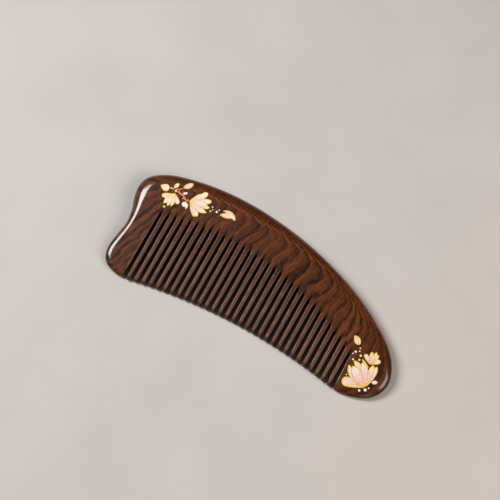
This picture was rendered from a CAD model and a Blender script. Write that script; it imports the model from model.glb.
"""Visual model of a hardwood comb with two sprays of blossom let into its head in shell and gold.

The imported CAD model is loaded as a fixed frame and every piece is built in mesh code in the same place.
Plan sizes in the tables and dataclasses are in millimetres, with X along the comb and +Y from the teeth
to the spine, and meshes are made in metres.
"""

import logging
import math
from dataclasses import dataclass
from enum import Enum
from functools import partial, reduce
from typing import Iterable, NamedTuple, Sequence

import bmesh
import bpy
from mathutils import Matrix, Vector

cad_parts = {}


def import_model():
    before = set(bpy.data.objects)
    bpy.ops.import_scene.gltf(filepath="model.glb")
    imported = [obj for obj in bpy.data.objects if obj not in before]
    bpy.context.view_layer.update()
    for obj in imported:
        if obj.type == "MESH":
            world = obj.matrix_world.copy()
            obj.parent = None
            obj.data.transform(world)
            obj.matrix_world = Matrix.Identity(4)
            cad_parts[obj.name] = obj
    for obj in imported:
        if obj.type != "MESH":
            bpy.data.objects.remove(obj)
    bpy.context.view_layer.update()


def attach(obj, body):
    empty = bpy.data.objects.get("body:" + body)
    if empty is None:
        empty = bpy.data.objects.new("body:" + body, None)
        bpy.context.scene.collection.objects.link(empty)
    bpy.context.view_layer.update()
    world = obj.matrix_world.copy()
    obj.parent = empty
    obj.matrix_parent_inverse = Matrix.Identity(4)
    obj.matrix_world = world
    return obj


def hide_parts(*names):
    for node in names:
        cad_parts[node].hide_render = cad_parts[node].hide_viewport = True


logging.basicConfig(level=logging.INFO, format="%(name)s: %(message)s")
log = logging.getLogger("comb")

MM = 0.001
BODY = "root"
# Corners of a mesh this close are one, and edges this short are none, in metres
SAME_PLACE = 1e-7
NO_LENGTH = 1e-8

Colour = tuple[float, float, float]
Direction = tuple[float, float, float]
Face = tuple[int, ...]
Socket = bpy.types.NodeSocket


class Slot(Enum):
    """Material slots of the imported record."""

    WOOD = "wood"
    SHELL = "shell"
    GOLD = "gold"
    COPPER = "copper"


class EndPlace(NamedTuple):
    """One place of the outline, in millimetres.

    Attributes:
        x: place along the comb.
        y: place across the comb.
        rim: width of the rounded rim there.
    """

    x: float
    y: float
    rim: float


class Petal(NamedTuple):
    """One petal in plan, in millimetres.

    Attributes:
        foot_x: x of its foot.
        foot_y: y of its foot.
        tip_x: x of its tip.
        tip_y: y of its tip.
        half_w: half its width at the belly.
        bend: sideways bend of the midrib, to the left of the way from foot to tip.
        belly: share of the way at which it is widest.
        taper: bluntness of the tip, from 0.4 for round to 0.9 for pointed.
    """

    foot_x: float
    foot_y: float
    tip_x: float
    tip_y: float
    half_w: float
    bend: float
    belly: float
    taper: float

    FOOT_SHARE = 0.12

    @property
    def length(self) -> float:
        """Straight distance from foot to tip."""
        return math.hypot(self.tip_x - self.foot_x, self.tip_y - self.foot_y)

    def half_width(self, t: float) -> float:
        """Half the width of the petal.

        Args:
            t: share of the way from foot to tip.

        Returns:
            Half the width there, in millimetres.
        """
        if t < self.belly:
            rise = math.sin(math.pi / 2 * t / self.belly)
            return self.half_w * (self.FOOT_SHARE + (1 - self.FOOT_SHARE) * rise)
        fall = (t - self.belly) / (1 - self.belly)
        return self.half_w * max(0.0, 1 - fall * fall) ** self.taper

    def place(self, t: float, offset: float) -> Vector:
        """A place on the petal.

        Args:
            t: share of the way from foot to tip.
            offset: distance to the left of the midrib, in millimetres.

        Returns:
            The place in plan.
        """
        foot = Vector((self.foot_x, self.foot_y))
        along = Vector((self.tip_x, self.tip_y)) - foot
        across = Vector((-along.y, along.x)).normalized()
        heading = along + across * self.bend * 4 * (1 - 2 * t)
        left = Vector((-heading.y, heading.x)).normalized()
        return foot + along * t + across * self.bend * 4 * t * (1 - t) + left * offset


class Cluster(NamedTuple):
    """A group of petals that overlap, from the front one to the back one.

    Attributes:
        name: start of the names of its CAD nodes.
        petals: its petals.
        frame: width of its gold line as a share of the usual one, 0 for none.
        pink: whether its shell is pink, not cream.
        merged: whether its two petals read as one, with the gold line round both.
        blush: numbers of its petals that are pink up to the tip.
    """

    name: str
    petals: tuple[Petal, ...]
    frame: float
    pink: bool = False
    merged: bool = False
    blush: tuple[int, ...] = ()


class Dot(NamedTuple):
    """A round dot or a place on the twig, in millimetres.

    Attributes:
        x: x of its middle.
        y: y of its middle.
        radius: its radius.
    """

    x: float
    y: float
    radius: float


ENDS = (
    EndPlace(-62.4, -31.5, 2.0),
    EndPlace(-66.8, -30.8, 2.6),
    EndPlace(-70.9, -29.2, 2.8),
    EndPlace(-73.7, -26.0, 3.1),
    EndPlace(-74.9, -21.0, 3.5),
    EndPlace(-74.3, -14.5, 3.6),
    EndPlace(-73.3, -7.0, 3.5),
    EndPlace(-74.2, 0.0, 4.4),
    EndPlace(-76.3, 5.8, 6.1),
    EndPlace(-77.5, 12.0, 7.0),
    EndPlace(-75.9, 17.8, 6.8),
    EndPlace(-71.0, 22.3, 6.4),
    EndPlace(-62.0, 26.3, 6.2),
    EndPlace(-46.0, 29.7, 6.6),
    EndPlace(-28.0, 31.1, 6.8),
    EndPlace(-9.0, 30.1, 7.0),
    EndPlace(10.0, 27.1, 7.0),
    EndPlace(28.0, 22.2, 7.0),
    EndPlace(45.0, 15.7, 7.0),
    EndPlace(60.0, 7.4, 7.0),
    EndPlace(69.5, 0.4, 6.2),
    EndPlace(75.0, -6.6, 4.6),
    EndPlace(77.4, -13.6, 4.0),
    EndPlace(76.3, -20.2, 4.0),
    EndPlace(72.5, -25.0, 4.4),
    EndPlace(67.0, -27.9, 4.2),
    EndPlace(61.0, -29.4, 3.7),
    EndPlace(56.5, -29.7, 3.1),
)

CLUSTERS = (
    Cluster(
        "hanging",
        (
            Petal(-58.9, 16.4, -59.8, 10.2, 1.2, 0.1, 0.6, 0.6),
            Petal(-58.7, 16.2, -57.3, 9.7, 0.95, 0.35, 0.6, 0.8),
            Petal(-58.9, 14.6, -58.9, 9.2, 0.8, 0, 0.7, 0.6),
            Petal(-59.3, 16.0, -60.9, 9.4, 1.0, -0.5, 0.6, 0.8),
            Petal(-58.5, 16.2, -54.5, 12.6, 1.25, -0.3, 0.65, 0.5),
            Petal(-59.2, 15.9, -64.0, 12.6, 1.25, 0.4, 0.7, 0.5),
        ),
        0.8,
        blush=(5,),
    ),
    Cluster(
        "spreading",
        (
            Petal(-50.4, 16.4, -41.2, 18.4, 1.65, 0.3, 0.55, 0.9),
            Petal(-50.1, 16.2, -40.1, 15.3, 1.4, -0.6, 0.6, 0.9),
            Petal(-45.5, 16.5, -40.0, 18.1, 0.95, -0.1, 0.6, 0.6),
            Petal(-50.1, 16.9, -40.7, 21.2, 1.35, -0.15, 0.72, 0.45),
            Petal(-50.2, 17.1, -46.9, 22.4, 0.47, 0.1, 0.6, 0.8),
            Petal(-50.3, 16.8, -44.5, 24.1, 1.45, -0.6, 0.75, 0.4),
            Petal(-49.7, 15.6, -44.6, 10.6, 0.62, -0.15, 0.6, 0.6),
            Petal(-50.1, 15.9, -43.4, 11.4, 1.25, 0.35, 0.75, 0.4),
        ),
        0.85,
        blush=(6,),
    ),
    Cluster(
        "large",
        (
            Petal(68.3, -22.0, 58.5, -15.9, 2.35, 0.25, 0.6, 0.7),
            Petal(65.5, -13.1, 60.9, -10.9, 0.6, 0.2, 0.5, 0.7),
            Petal(68.3, -21.4, 61.9, -11.9, 1.8, -0.3, 0.7, 0.55),
            Petal(68.4, -20.8, 67.0, -11.0, 1.35, 0, 0.7, 0.6),
            Petal(68.6, -21.6, 68.9, -10.7, 1.35, -0.25, 0.68, 0.7),
            Petal(65.3, -16.4, 57.8, -13.4, 1.35, -0.05, 0.6, 0.8),
            Petal(67.5, -22.2, 56.8, -16.2, 1.3, 1.7, 0.7, 0.6),
            Petal(67.9, -22.4, 60.3, -25.8, 0.88, -0.5, 0.5, 0.8),
            Petal(68.0, -22.3, 57.2, -24.3, 2.35, -0.2, 0.78, 0.4),
        ),
        1.2,
        pink=True,
        blush=(8,),
    ),
    Cluster(
        "upper",
        (
            Petal(65.4, -11.4, 64.8, -6.4, 0.9, 0, 0.6, 0.6),
            Petal(65.4, -11.2, 65.5, -4.9, 0.85, -0.1, 0.75, 0.6),
            Petal(65.5, -11.3, 67.0, -5.6, 0.95, 0.1, 0.65, 0.6),
            Petal(65.3, -11.3, 63.5, -5.6, 0.95, 0.1, 0.65, 0.6),
            Petal(65.5, -11.3, 69.2, -7.8, 1.2, 0.3, 0.7, 0.5),
            Petal(65.2, -11.4, 60.8, -8.3, 1.15, -0.3, 0.7, 0.5),
        ),
        0.85,
        pink=True,
    ),
    Cluster("side_bud", (Petal(-66.9, 16.6, -62.3, 16.9, 1.8, 0, 0.62, 0.5),), 0.85),
    Cluster("leaf", (Petal(-60.4, 18.4, -59.3, 21.7, 1.0, 0, 0.5, 0.7),), 0.75),
    Cluster(
        "tall_bud",
        (
            Petal(-56.2, 20.7, -53.1, 24.8, 0.85, -0.6, 0.5, 0.7),
            Petal(-56.4, 20.7, -53.0, 25.0, 1.35, -0.15, 0.5, 0.6),
        ),
        0.7,
    ),
    Cluster("twig_bud", (Petal(-55.2, 18.0, -53.2, 19.4, 0.68, 0, 0.5, 0.6),), 0.0),
    Cluster(
        "round_bud",
        (
            Petal(-51.8, 15.3, -51.9, 12.6, 1.35, 0, 0.5, 0.5),
            Petal(-50.6, 15.0, -50.3, 12.1, 0.6, 0.1, 0.5, 0.7),
        ),
        0.0,
    ),
    Cluster(
        "drifting",
        (
            Petal(-33.9, 17.5, -27.0, 19.5, 1.25, 0.15, 0.45, 0.6),
            Petal(-33.3, 20.0, -25.9, 18.4, 1.1, 1.15, 0.5, 0.6),
        ),
        1.1,
        merged=True,
    ),
    Cluster(
        "fallen",
        (
            Petal(52.7, -3.3, 56.2, -5.7, 0.95, -0.35, 0.5, 0.7),
            Petal(52.3, -2.8, 56.4, -5.7, 1.55, 0.2, 0.5, 0.6),
        ),
        0.8,
    ),
    Cluster("end_bud", (Petal(70.1, -18.6, 72.5, -17.2, 0.95, 0, 0.5, 0.5),), 0.0),
)

TWIG_MAIN = (
    Dot(-59.1, 17.3, 0.55),
    Dot(-58.2, 17.7, 0.4),
    Dot(-57.0, 17.7, 0.34),
    Dot(-55.6, 17.4, 0.34),
    Dot(-54.4, 17.3, 0.36),
    Dot(-53.5, 16.7, 0.36),
    Dot(-52.6, 16.1, 0.34),
    Dot(-51.6, 16.0, 0.34),
    Dot(-50.7, 16.2, 0.3),
)
TWIG_ARM = (
    Dot(-59.1, 17.3, 0.55),
    Dot(-58.7, 18.6, 0.32),
    Dot(-57.9, 19.1, 0.28),
    Dot(-57.2, 19.6, 0.28),
    Dot(-56.7, 20.2, 0.28),
)
LEFT_GOLD = (
    Dot(-61.6, 17.9, 0.45),
    Dot(-60.1, 8.2, 0.55),
    Dot(-38.9, 16.9, 0.42),
    Dot(-35.9, 18.0, 0.62),
)
LEFT_PEARL = (
    Dot(-60.6, 17.9, 0.3),
    Dot(-57.3, 18.4, 0.24),
    Dot(-53.9, 16.1, 0.28),
    Dot(-51.6, 16.9, 0.22),
    Dot(-38.95, 19.1, 0.36),
    Dot(-38.3, 18.0, 0.28),
    Dot(-35.3, 19.4, 0.35),
)
RIGHT_GOLD = (
    Dot(56.45, -9.3, 0.6),
    Dot(59.5, -9.85, 0.55),
    Dot(59.9, -11.9, 0.5),
    Dot(57.1, -13.05, 0.5),
)
RIGHT_PEARL = (
    Dot(57.6, -6.85, 0.36),
    Dot(58.05, -8.2, 0.34),
    Dot(55.75, -10.65, 0.34),
    Dot(57.85, -20.9, 0.32),
    Dot(70.2, -21.55, 0.42),
    Dot(69.15, -23.05, 0.76),
    Dot(66.8, -24.6, 0.6),
)


def smooth_curve(a: Vector, b: Vector, c: Vector, d: Vector, t: float) -> Vector:
    """A place on the smooth curve that runs from b to c.

    Args:
        a: place before b.
        b: start of the span.
        c: end of the span.
        d: place after c.
        t: share of the way from b to c.

    Returns:
        The place, with as many coordinates as the four places have.
    """
    square = (2 * a - 5 * b + 4 * c - d) * (t * t)
    cube = (3 * b - a - 3 * c + d) * (t * t * t)
    return (2 * b + (c - a) * t + square + cube) / 2


def strip_faces(
    rows: int, columns: int, start: int = 0, close_rows: bool = False, close_columns: bool = False
) -> list[Face]:
    """Quads between rows of places that lie one after another in a list.

    Args:
        rows: number of rows.
        columns: number of places in a row.
        start: index of the first place.
        close_rows: whether the last row joins the first.
        close_columns: whether the last place of a row joins its first.

    Returns:
        The corners of each quad, row by row.
    """
    faces = []
    for r in range(rows if close_rows else rows - 1):
        here, beyond = start + r * columns, start + (r + 1) % rows * columns
        for a in range(columns if close_columns else columns - 1):
            b = (a + 1) % columns
            faces.append((here + a, here + b, beyond + b, beyond + a))
    return faces


def make_object(
    name: str,
    places: Iterable[Vector],
    faces: Sequence[Face],
    shares: Sequence[tuple[float, float]] | None = None,
) -> bpy.types.Object:
    """Makes a smooth mesh object from places in millimetres.

    Args:
        name: name of the object and its mesh.
        places: places in millimetres.
        faces: corners of each face, as indices into places.
        shares: for each place, the two shares that its shader reads as UV coordinates.

    Returns:
        The new object, linked to the scene.
    """
    mesh = bpy.data.meshes.new(name)
    work = bmesh.new()
    verts = [work.verts.new(place * MM) for place in places]
    layer = work.loops.layers.uv.new("shares") if shares is not None else None
    for corners in faces:
        face = work.faces.new([verts[i] for i in corners])
        face.smooth = True
        if layer is not None:
            for loop, i in zip(face.loops, corners):
                loop[layer].uv = shares[i]
    bmesh.ops.remove_doubles(work, verts=work.verts, dist=SAME_PLACE)
    bmesh.ops.dissolve_degenerate(work, edges=work.edges, dist=NO_LENGTH)
    bmesh.ops.recalc_face_normals(work, faces=work.faces)
    work.to_mesh(mesh)
    work.free()
    made = bpy.data.objects.new(name, mesh)
    bpy.context.scene.collection.objects.link(made)
    return made


def keep_piece(
    piece: bpy.types.Object,
    finish: bpy.types.Material,
    nodes: Sequence[str],
) -> bpy.types.Object:
    """Dresses a piece, lets it ride on the comb and stand for its CAD nodes.

    Args:
        piece: the object.
        finish: its material.
        nodes: the CAD nodes that it replaces.

    Returns:
        The same object.
    """
    piece.data.materials.append(finish)
    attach(piece, BODY)
    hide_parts(*nodes)
    log.info("%s: %d faces for %s", piece.name, len(piece.data.polygons), ", ".join(nodes))
    return piece


class Span(NamedTuple):
    """How a value is turned into another one.

    Attributes:
        start: where the value's range starts.
        end: where it ends.
        low: the result at the start and before it.
        high: the result at the end and beyond it.
        smooth: whether the result starts and ends gently.
    """

    start: float
    end: float
    low: float = 0.0
    high: float = 1.0
    smooth: bool = False


class Noise(NamedTuple):
    """Soft noise.

    Attributes:
        scale: how fine it is.
        detail: number of finer layers.
        rough: how strong each finer layer is.
    """

    scale: float
    detail: float = 2.0
    rough: float = 0.5

    @property
    def inputs(self) -> dict[str, float]:
        """The noise node's inputs."""
        return {"Scale": self.scale, "Detail": self.detail, "Roughness": self.rough}


class Fibre(NamedTuple):
    """Noise stretched along the grain.

    Attributes:
        across: its scale across the grain.
        along: its scale along the grain.
        noise: its finer layers.
    """

    across: float
    along: float
    noise: Noise = Noise(1.0)


class Graph:
    """A material's node tree, with short calls that add a node and return its output socket."""

    def __init__(self, name: str) -> None:
        """Starts a material with one Principled shader.

        Args:
            name: name of the material.
        """
        self.material = bpy.data.materials.new(name)
        self.material.use_nodes = True
        self.tree = self.material.node_tree
        self.shader = self.tree.nodes["Principled BSDF"]

    def add(self, kind: str, inputs: dict | None = None, **settings: object) -> bpy.types.Node:
        """Adds a node.

        Args:
            kind: Blender's name for the node's type.
            inputs: for each input, by name or number, a socket to link or a value to set.
            settings: properties of the node.

        Returns:
            The node.
        """
        node = self.tree.nodes.new(kind)
        for key, value in settings.items():
            setattr(node, key, value)
        for key, value in (inputs or {}).items():
            self.feed(node.inputs[key], value)
        return node

    def feed(self, socket: Socket, value: object) -> None:
        """Links a socket to an input, or sets the input's value.

        Args:
            socket: the input.
            value: the socket or the value, with three numbers for a colour.
        """
        if isinstance(value, Socket):
            self.tree.links.new(value, socket)
        else:
            socket.default_value = (*value, 1.0) if isinstance(value, tuple) else value

    def math(self, operation: str, *values: object) -> Socket:
        """One step of arithmetic on one or two values."""
        return self.add("ShaderNodeMath", dict(enumerate(values)), operation=operation).outputs[0]

    def plus(self, *values: object) -> Socket:
        """Sum of the values."""
        return reduce(partial(self.math, "ADD"), values)

    def minus(self, a: object, b: object) -> Socket:
        """The first value less the second."""
        return self.math("SUBTRACT", a, b)

    def times(self, *values: object) -> Socket:
        """Product of the values."""
        return reduce(partial(self.math, "MULTIPLY"), values)

    def highest(self, *values: object) -> Socket:
        """Greatest of the values."""
        return reduce(partial(self.math, "MAXIMUM"), values)

    def places(self) -> Socket:
        """The places that are shaded.

        Returns:
            Their vector on the object, in millimetres.
        """
        coords = self.add("ShaderNodeTexCoord").outputs["Object"]
        inputs = {0: coords, "Scale": 1 / MM}
        return self.add("ShaderNodeVectorMath", inputs, operation="SCALE").outputs[0]

    def split(self, vector: Socket) -> list[Socket]:
        """The x, y and z of a vector."""
        return list(self.add("ShaderNodeSeparateXYZ", {0: vector}).outputs)

    def join(self, x: object, y: object, z: object) -> Socket:
        """A vector from three values."""
        return self.add("ShaderNodeCombineXYZ", {0: x, 1: y, 2: z}).outputs[0]

    def square_from(self, places: Socket, x: float, y: float) -> Socket:
        """Square of the distance in plan from an upright axis.

        Args:
            places: places in millimetres.
            x: x of the axis.
            y: y of the axis.

        Returns:
            The square, in square millimetres.
        """
        here_x, here_y, _ = self.split(places)
        dx, dy = self.minus(here_x, x), self.minus(here_y, y)
        return self.plus(self.times(dx, dx), self.times(dy, dy))

    def noise(self, vector: Socket, noise: Noise) -> Socket:
        """Soft noise from 0 to 1 over a vector."""
        return self.add("ShaderNodeTexNoise", {"Vector": vector, **noise.inputs}).outputs["Fac"]

    def noise_line(self, value: Socket, noise: Noise) -> Socket:
        """Soft noise from 0 to 1 along one value."""
        inputs = {"W": value, **noise.inputs}
        return self.add("ShaderNodeTexNoise", inputs, noise_dimensions="1D").outputs["Fac"]

    def map(self, value: Socket, span: Span) -> Socket:
        """A value turned into another one.

        Args:
            value: the value.
            span: how it is turned.

        Returns:
            The new value.
        """
        inputs = dict(enumerate((value, *span[:4])))
        kind = "SMOOTHSTEP" if span.smooth else "LINEAR"
        return self.add("ShaderNodeMapRange", inputs, interpolation_type=kind).outputs[0]

    def ramp(self, factor: Socket, stops: Sequence[tuple[float, object]]) -> Socket:
        """Colours or greys along a factor.

        Args:
            factor: the value from 0 to 1.
            stops: pairs of place and colour, or of place and grey.

        Returns:
            The colour.
        """
        node = self.add("ShaderNodeValToRGB", {0: factor})
        elements = node.color_ramp.elements
        while len(elements) < len(stops):
            elements.new(1.0)
        for element, (place, shade) in zip(elements, stops):
            element.position = place
            rgb = shade if isinstance(shade, tuple) else (shade,) * 3
            element.color = (*rgb, 1.0)
        return node.outputs[0]

    def mix(self, factor: object, a: object, b: object) -> Socket:
        """Two colours mixed by a factor.

        Args:
            factor: share of the second colour.
            a: the first colour.
            b: the second colour.

        Returns:
            The mixed colour.
        """
        node = self.add("ShaderNodeMix", {0: factor}, data_type="RGBA")
        colours = [socket for socket in node.inputs if socket.type == "RGBA"]
        for socket, value in zip(colours, (a, b)):
            self.feed(socket, value)
        return next(socket for socket in node.outputs if socket.type == "RGBA")

    def bump(self, height: Socket, strength: float, depth: float) -> Socket:
        """A normal from a height, with the depth in millimetres."""
        inputs = {"Height": height, "Strength": strength, "Distance": depth * MM}
        return self.add("ShaderNodeBump", inputs).outputs[0]

    def finish(self, **inputs: object) -> bpy.types.Material:
        """Feeds the shader's inputs.

        Args:
            **inputs: a socket or a value for each input, named with underscores for spaces.

        Returns:
            The material.
        """
        for key, value in inputs.items():
            self.feed(self.shader.inputs[key.replace("_", " ")], value)
        return self.material


class Ring(NamedTuple):
    """The dark band where one growth ring ends and the next begins.

    Attributes:
        place: where it crosses the middle of the head, in millimetres along the comb.
        strength: how dark it is, from 0 to 1.
    """

    place: float
    strength: float


RINGS = (
    Ring(-82.0, 0.6),
    Ring(-74.0, 0.5),
    Ring(-67.5, 0.5),
    Ring(-63.0, 0.1),
    Ring(-58.6, 1.0),
    Ring(-54.2, 1.0),
    Ring(-50.4, 1.0),
    Ring(-47.0, 0.2),
    Ring(-43.5, 0.35),
    Ring(-39.0, 0.2),
    Ring(-34.0, 0.6),
    Ring(-28.5, 0.2),
    Ring(-22.3, 0.3),
    Ring(-15.6, 0.8),
    Ring(-9.0, 0.7),
    Ring(-4.0, 0.25),
    Ring(2.5, 0.55),
    Ring(9.5, 0.9),
    Ring(16.8, 0.9),
    Ring(24.5, 1.0),
    Ring(31.5, 0.8),
    Ring(37.0, 0.6),
    Ring(42.0, 0.9),
    Ring(46.5, 0.9),
    Ring(50.5, 0.8),
    Ring(54.0, 1.0),
    Ring(59.0, 0.5),
    Ring(65.0, 0.5),
    Ring(72.0, 0.6),
    Ring(80.0, 0.8),
    Ring(89.0, 0.6),
    Ring(100.0, 0.8),
)


@dataclass(frozen=True)
class WoodFinish:
    """Dark hardwood with growth rings that bend along the spine.

    Attributes:
        name: name of the material.
        polish: weight of the clear polish, 0 where the wood is left as sawn.
        polish_rough: roughness of the polish.
        rough: usual roughness of the wood itself.
        dark: colour of the bands between the rings.
        burnt: colour of the same bands along the spine.
        deep: colour of the rounded spine.
        pale: colour near the teeth.
        warm: colour of the light streaks.
        spine_x: x of the middle of the spine's arc.
        spine_y: y of the middle of the spine's arc.
        spine_r: radius of the spine's arc.
        roots_x: x of the middle of the roots' arc.
        roots_y: y of the middle of the roots' arc.
        roots_r: radius of the roots' arc.
        pull: how far along the spine a ring runs for each millimetre towards its edge.
        level_y: where across the comb the places of the rings hold.
        face_slope: rise of the upper face for each millimetre towards the spine.
        face_level: height of the upper face where y is 0.
        sink: how far a ring moves along the comb for each millimetre down.
        tooth_share: strength of the rings in the teeth as a share of that in the head.
        tooth_burn: how much the teeth darken towards the burnt colour.
    """

    name: str = "polished_hardwood"
    polish: float = 0.9
    polish_rough: float = 0.16
    rough: float = 0.45
    dark: Colour = (0.009, 0.0042, 0.003)
    burnt: Colour = (0.0086, 0.0029, 0.0011)
    deep: Colour = (0.056, 0.0148, 0.004)
    pale: Colour = (0.073, 0.023, 0.0096)
    warm: Colour = (0.228, 0.065, 0.0152)
    spine_x: float = -28.0
    spine_y: float = -147.0
    spine_r: float = 178.2
    roots_x: float = -22.0
    roots_y: float = -138.2
    roots_r: float = 148.0
    pull: float = 5.0
    level_y: float = 15.0
    face_slope: float = 0.1584
    face_level: float = 8.15
    sink: float = 2.5
    tooth_share: float = 0.45
    tooth_burn: float = 0.25

    # The line where the rings turn along the spine: how far in from the spine's arc it starts for each x,
    # how far it wanders, how softly the rings turn there, and the part of the wood that counts as spine
    TURN_START = Span(-15.0, 50.0, 7.2, 2.8)
    TURN_WANDER = Span(0.3, 0.7, -0.8, 0.8)
    TURN_SOFTNESS = Span(5.0, 40.0, 1.0, 1.8)
    SPINE = Span(-1.0, 1.5)
    # How far a ring moves along the comb: for each millimetre towards the spine, in the middle and more at
    # the left end, then where its lower end bends to the left, and by noise
    LEAN = Span(22.0, 38.0, -0.25, 0.0, smooth=True)
    LEFT_LEAN = Span(-46.0, -62.0, 0.0, -0.16, smooth=True)
    CURL = Span(9.0, 19.0, 0.0, 2.6, smooth=True)
    SWIRL = Span(0.25, 0.75, -1.9, 1.9)
    RIPPLE = Span(0.25, 0.75, -0.9, 0.9)
    # Where the teeth start below the roots' arc and beside the guards
    BELOW_ROOTS = 3.0
    LEFT_TOOTH = Span(-62.0, -60.0)
    RIGHT_TOOTH = Span(56.0, 54.0)
    # Light wood: patches, streaks and fibres, the wood just after a ring, the line of the turn, and the right
    PATCH_LIGHT = Span(0.45, 0.75, 0.0, 0.45)
    STREAK_LIGHT = Span(0.52, 0.75, 0.0, 0.5)
    FINE_LIGHT = Span(0.48, 0.72, 0.0, 0.5)
    FIBRE_LIGHT = Span(0.5, 0.66, 0.0, 0.35)
    RING_LIGHT = ((0.08, 0.0), (0.22, 0.42), (0.4, 0.12), (0.6, 0.0))
    TURN_SIDES = Span(-3.0, 5.0)
    TURN_LIGHT = ((0.2, 0.0), (0.42, 0.75), (0.6, 0.35), (1.0, 0.2))
    RIGHT_LIGHT = Span(8.0, 45.0, 0.0, 0.6)
    RIGHT_END = Span(50.0, 60.0, 1.0, 0.1)
    # Dark wood: the band at a ring, how strong it is at least and along the spine, how it is broken up, then
    # the right end, streaks, fibres and pores
    BAND = ((0.0, 1.0), (0.1, 0.5), (0.22, 0.0), (0.45, 0.05), (0.7, 0.5), (0.84, 0.95), (1.0, 1.0))
    BAND_LEAST = 0.35
    BAND_SPINE = 0.95
    MOTTLE = Span(0.36, 0.56, 0.7, 1.0)
    END_DARK = Span(54.0, 62.0, 0.0, 0.2)
    STREAK_DARK = Span(0.46, 0.25, 0.0, 0.45)
    FINE_DARK = Span(0.45, 0.25, 0.0, 0.4)
    FIBRE_DARK = Span(0.5, 0.3, 0.0, 0.6)
    PORE_DARK = Span(0.42, 0.28, 0.0, 0.7)
    # From the spine to the teeth the wood's own colour turns from deep to pale
    DEPTH = Span(6.0, 15.0)
    # How far the fibres change the roughness, and how strong the pores are in the relief
    ROUGH_SPREAD = 0.05
    PORE_RELIEF = 0.6
    # Noise, for the line of the turn, over places, across the rings and along the grain
    WANDERS = Noise(0.09)
    SWIRLS = Noise(0.05, 1.0)
    PATCHES = Noise(0.05)
    MOTTLES = Noise(0.5, 3.0, 0.65)
    STREAKS = Noise(0.33)
    FINE_STREAKS = Noise(1.1, 3.0)
    RIPPLES = Fibre(0.35, 0.09)
    FIBRES = Fibre(1.6, 0.14, Noise(1.0, 4.0, 0.72))
    PORES = Fibre(4.5, 0.45)

    def inward(self, g: Graph, places: Socket) -> Socket:
        """Distance from the arc of the spine, in millimetres."""
        return g.minus(self.spine_r, g.math("SQRT", g.square_from(places, self.spine_x, self.spine_y)))

    def toothed(self, g: Graph, places: Socket) -> Socket:
        """How far a place belongs to the teeth.

        Args:
            g: the node tree.
            places: places in millimetres.

        Returns:
            1 among the teeth, 0 in the head and the guards.
        """
        x, _, _ = g.split(places)
        away = g.math("SQRT", g.square_from(places, self.roots_x, self.roots_y))
        below = g.map(away, Span(self.roots_r, self.roots_r - self.BELOW_ROOTS))
        return g.times(below, g.map(x, self.LEFT_TOOTH), g.map(x, self.RIGHT_TOOTH))

    def turning(self, g: Graph, places: Socket) -> Socket:
        """How far a place lies outside the line where the rings turn along the spine.

        Args:
            g: the node tree.
            places: places in millimetres.

        Returns:
            The distance in millimetres, below 0 inside the line.
        """
        x, _, _ = g.split(places)
        wander = g.map(g.noise_line(x, self.WANDERS), self.TURN_WANDER)
        return g.minus(g.plus(g.map(x, self.TURN_START), wander), self.inward(g, places))

    def grain(self, g: Graph, places: Socket) -> Socket:
        """Where a place lies across the leaning grain.

        Args:
            g: the node tree.
            places: places in millimetres.

        Returns:
            A length along the comb in millimetres.
        """
        x, y, _ = g.split(places)
        lean = g.plus(g.map(x, self.LEAN), g.map(x, self.LEFT_LEAN))
        return g.plus(g.times(g.minus(y, self.level_y), lean), x)

    def stretched(self, g: Graph, places: Socket, fibre: Fibre) -> Socket:
        """Noise stretched along the grain.

        Args:
            g: the node tree.
            places: places in millimetres.
            fibre: its scales and its noise.

        Returns:
            A value from 0 to 1.
        """
        _, y, z = g.split(places)
        vector = g.join(g.times(self.grain(g, places), fibre.across), g.times(y, fibre.along), z)
        return g.noise(vector, fibre.noise)

    def field(self, g: Graph, places: Socket) -> Socket:
        """Where a place lies across the growth rings.

        Args:
            g: the node tree.
            places: places in millimetres.

        Returns:
            A length along the comb in millimetres, the same all along one ring.
        """
        x, y, z = g.split(places)
        soft = g.map(x, self.TURN_SOFTNESS)
        near = g.math("EXPONENT", g.math("DIVIDE", self.turning(g, places), soft))
        along = g.times(g.math("LOGARITHM", g.plus(near, 1.0), math.e), soft, self.pull)
        top = g.plus(g.times(y, self.face_slope), self.face_level)
        down = g.times(g.minus(top, z), self.sink)
        swirl = g.map(g.noise(places, self.SWIRLS), self.SWIRL)
        ripple = g.map(self.stretched(g, places, self.RIPPLES), self.RIPPLE)
        curl = g.map(self.inward(g, places), self.CURL)
        return g.plus(self.grain(g, places), along, down, swirl, ripple, curl)

    def rings(self, g: Graph, field: Socket) -> tuple[Socket, Socket]:
        """Where a place lies between two rings.

        Args:
            g: the node tree.
            field: where it lies across the growth rings.

        Returns:
            The share of the way from one ring to the next, and how strong the bands are there.
        """
        low, high, last = RINGS[0].place, RINGS[-1].place, len(RINGS) - 1
        along = g.map(field, Span(low, high))
        shares = [(ring.place - low) / (high - low) for ring in RINGS]
        count = g.ramp(along, [(share, i / last) for i, share in enumerate(shares)])
        greys = [self.BAND_LEAST + (1 - self.BAND_LEAST) * ring.strength for ring in RINGS]
        return g.math("FRACT", g.times(count, float(last))), g.ramp(along, list(zip(shares, greys)))

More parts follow.
